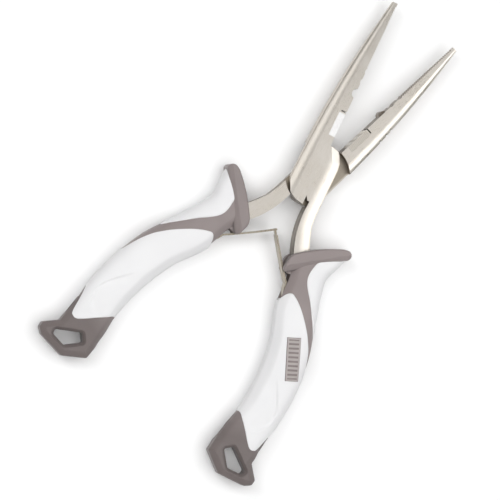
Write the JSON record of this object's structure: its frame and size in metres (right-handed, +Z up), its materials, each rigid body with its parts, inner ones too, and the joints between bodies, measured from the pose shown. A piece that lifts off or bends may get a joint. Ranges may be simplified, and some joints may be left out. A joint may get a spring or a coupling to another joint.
{
  "type": "fishing pliers",
  "caption": "Long-nose fishing pliers with lap-jointed steel levers, leaf return springs and two-colour moulded grips ending in lanyard eyes.",
  "frame": {"origin": "middle of the footprint on the surface that the open pliers lie on", "axes": "+Z up, out of the front face; +Y along the tool towards the jaw tips; +X to the right across it"},
  "size_m": [0.1152, 0.2108, 0.0149],
  "materials": {
    "steel": "satin nickel plate",
    "cutter_steel": "ground",
    "spring_steel": "satin",
    "pin_steel": "ground flush",
    "white_grip": "matte",
    "grey_grip": "matte"
  },
  "bodies": {
    "front_half": {"front_lever": "steel", "front_cutter": "cutter_steel", "front_spring_pin": "pin_steel", "front_shoulder_pad": "white_grip", "front_sleeve": "white_grip", "front_grip_core": "grey_grip", "pivot_rivet": "pin_steel", "badge_inlay": "grey_grip"},
    "front_leaf": {"front_leaf_spring": "spring_steel"},
    "back_half": {"back_lever": "steel", "back_cutter": "cutter_steel", "back_spring_pin": "pin_steel", "back_shoulder_pad": "white_grip", "back_sleeve": "white_grip", "back_grip_core": "grey_grip"},
    "back_leaf": {"back_leaf_spring": "spring_steel"}
  },
  "joints": [
    {"name": "jaw_pivot", "type": "hinge", "parent": "front_half", "child": "back_half", "pos_m": [0, 0.02238, 0.0074], "axis": [0, 0, 1], "range_deg": [-3, 21.2], "stiffness_Nm_per_rad": 0.8},
    {"name": "front_leaf_flex", "type": "hinge", "parent": "front_half", "child": "front_leaf", "pos_m": [0.02182, -0.02898, 0.0074], "axis": [0, 0, 1], "range_deg": [-11, 2]},
    {"name": "back_leaf_flex", "type": "hinge", "parent": "back_half", "child": "back_leaf", "pos_m": [-0.02182, -0.02898, 0.0074], "axis": [0, 0, 1], "range_deg": [-2, 11]}
  ],
  "couplings": [
    {"joint": "front_leaf_flex", "follows": "jaw_pivot", "ratio": -0.5},
    {"joint": "back_leaf_flex", "follows": "jaw_pivot", "ratio": 0.5}
  ]
}
